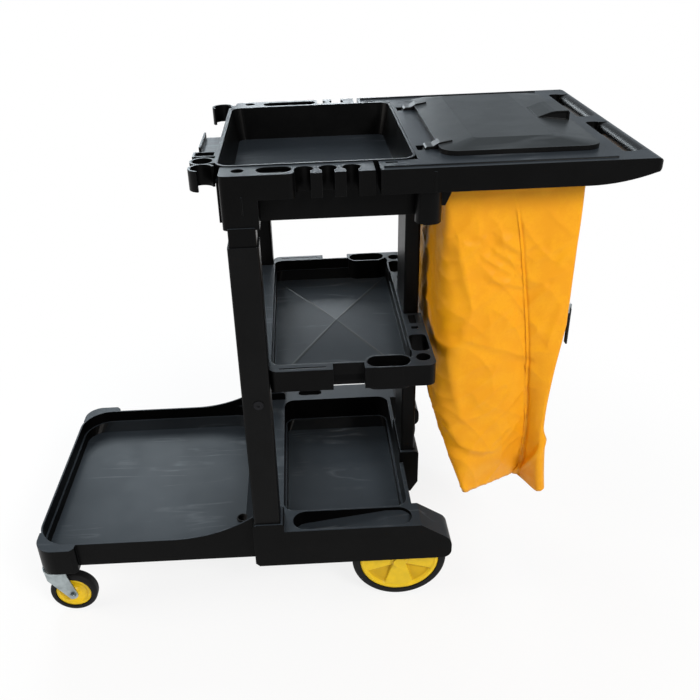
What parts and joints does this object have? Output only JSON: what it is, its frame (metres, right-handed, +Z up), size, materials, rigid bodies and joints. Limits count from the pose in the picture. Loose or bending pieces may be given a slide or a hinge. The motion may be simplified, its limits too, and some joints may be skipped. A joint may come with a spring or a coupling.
{
  "type": "janitor_cart",
  "caption": "Black moulded janitor cart with a front deck, a lower and a middle shelf, a top tool tray and a lidded platform that carries a yellow zipped bag.",
  "frame": {"origin": "on the floor, under the middle of the cart's outer box", "axes": "+X from the deck to the handle, +Y to the right of a person who pushes from the handle (the far side in the picture), +Z up"},
  "size_m": [1.173, 0.548, 0.981],
  "materials": {
    "black_plastic": "moulded, fine grain",
    "post_plastic": "extruded, satin",
    "lid_plastic": "moulded, fine grain",
    "zinc": "zinc plated",
    "black_steel": "blackened",
    "bag_vinyl": "coated vinyl, creased",
    "zip_black": "woven tape",
    "yellow_plastic": "moulded, satin",
    "tyre_rubber": "smooth tread"
  },
  "bodies": {
    "cart": {"front_deck": "black_plastic", "rear_base": "black_plastic", "upright_left": "post_plastic", "upright_right": "post_plastic", "rear_column": "post_plastic", "middle_shelf": "black_plastic", "top_tray": "black_plastic", "tray_frame": "black_plastic", "tool_rim_left": "black_plastic", "tool_rim_right": "black_plastic", "clip_row_left": "black_plastic", "clip_row_right": "black_plastic", "tool_rail": "black_plastic", "bag_platform": "black_plastic", "hinge_pins": "zinc", "bag": "bag_vinyl", "bag_hem": "bag_vinyl", "bag_eyelets": "zinc", "zip_tape": "zip_black", "rear_axle": "zinc", "wheel_washers": "zinc", "axle_caps": "yellow_plastic", "caster_stem_left": "zinc", "caster_stem_right": "zinc", "upright_screws": "black_steel", "column_screws": "zinc", "deck_bolts": "black_steel"},
    "lid": {"lid": "lid_plastic"},
    "rear_wheel_left": {"rear_hub_left": "yellow_plastic", "rear_tyre_left": "tyre_rubber"},
    "rear_wheel_right": {"rear_hub_right": "yellow_plastic", "rear_tyre_right": "tyre_rubber"},
    "caster_left": {"caster_fork_left": "zinc", "caster_bolt_left": "zinc"},
    "caster_right": {"caster_fork_right": "zinc", "caster_bolt_right": "zinc"},
    "caster_wheel_left": {"caster_hub_left": "yellow_plastic", "caster_tyre_left": "tyre_rubber"},
    "caster_wheel_right": {"caster_hub_right": "yellow_plastic", "caster_tyre_right": "tyre_rubber"},
    "zip_slider": {"zip_slider": "zinc"},
    "zip_pull": {"zip_pull": "zip_black"}
  },
  "joints": [
    {"name": "lid_hinge", "type": "hinge", "parent": "cart", "child": "lid", "pos_m": [0.2192, 0, 0.948], "axis": [0, -1, 0], "range_deg": [0, 105]},
    {"name": "rear_wheel_left_spin", "type": "hinge", "parent": "cart", "child": "rear_wheel_left", "pos_m": [0.175, -0.234, 0.1], "axis": [0, 1, 0], "continuous": true},
    {"name": "caster_left_swivel", "type": "hinge", "parent": "cart", "child": "caster_left", "pos_m": [-0.5555, -0.238, 0.115], "axis": [0, 0, 1], "continuous": true},
    {"name": "caster_left_spin", "type": "hinge", "parent": "caster_left", "child": "caster_wheel_left", "pos_m": [-0.5275, -0.238, 0.05], "axis": [0, 1, 0], "continuous": true},
    {"name": "rear_wheel_right_spin", "type": "hinge", "parent": "cart", "child": "rear_wheel_right", "pos_m": [0.175, 0.234, 0.1], "axis": [0, 1, 0], "continuous": true},
    {"name": "caster_right_swivel", "type": "hinge", "parent": "cart", "child": "caster_right", "pos_m": [-0.5555, 0.238, 0.115], "axis": [0, 0, 1], "continuous": true},
    {"name": "caster_right_spin", "type": "hinge", "parent": "caster_right", "child": "caster_wheel_right", "pos_m": [-0.5275, 0.238, 0.05], "axis": [0, 1, 0], "continuous": true},
    {"name": "zip_travel", "type": "slide", "parent": "cart", "child": "zip_slider", "axis": [0, 0, 1], "range_m": [0, 0.218]},
    {"name": "zip_pull_swing", "type": "hinge", "parent": "zip_slider", "child": "zip_pull", "pos_m": [0.4944, -0.182, 0.65072], "axis": [0, -1, 0], "range_deg": [0, 100]}
  ]
}
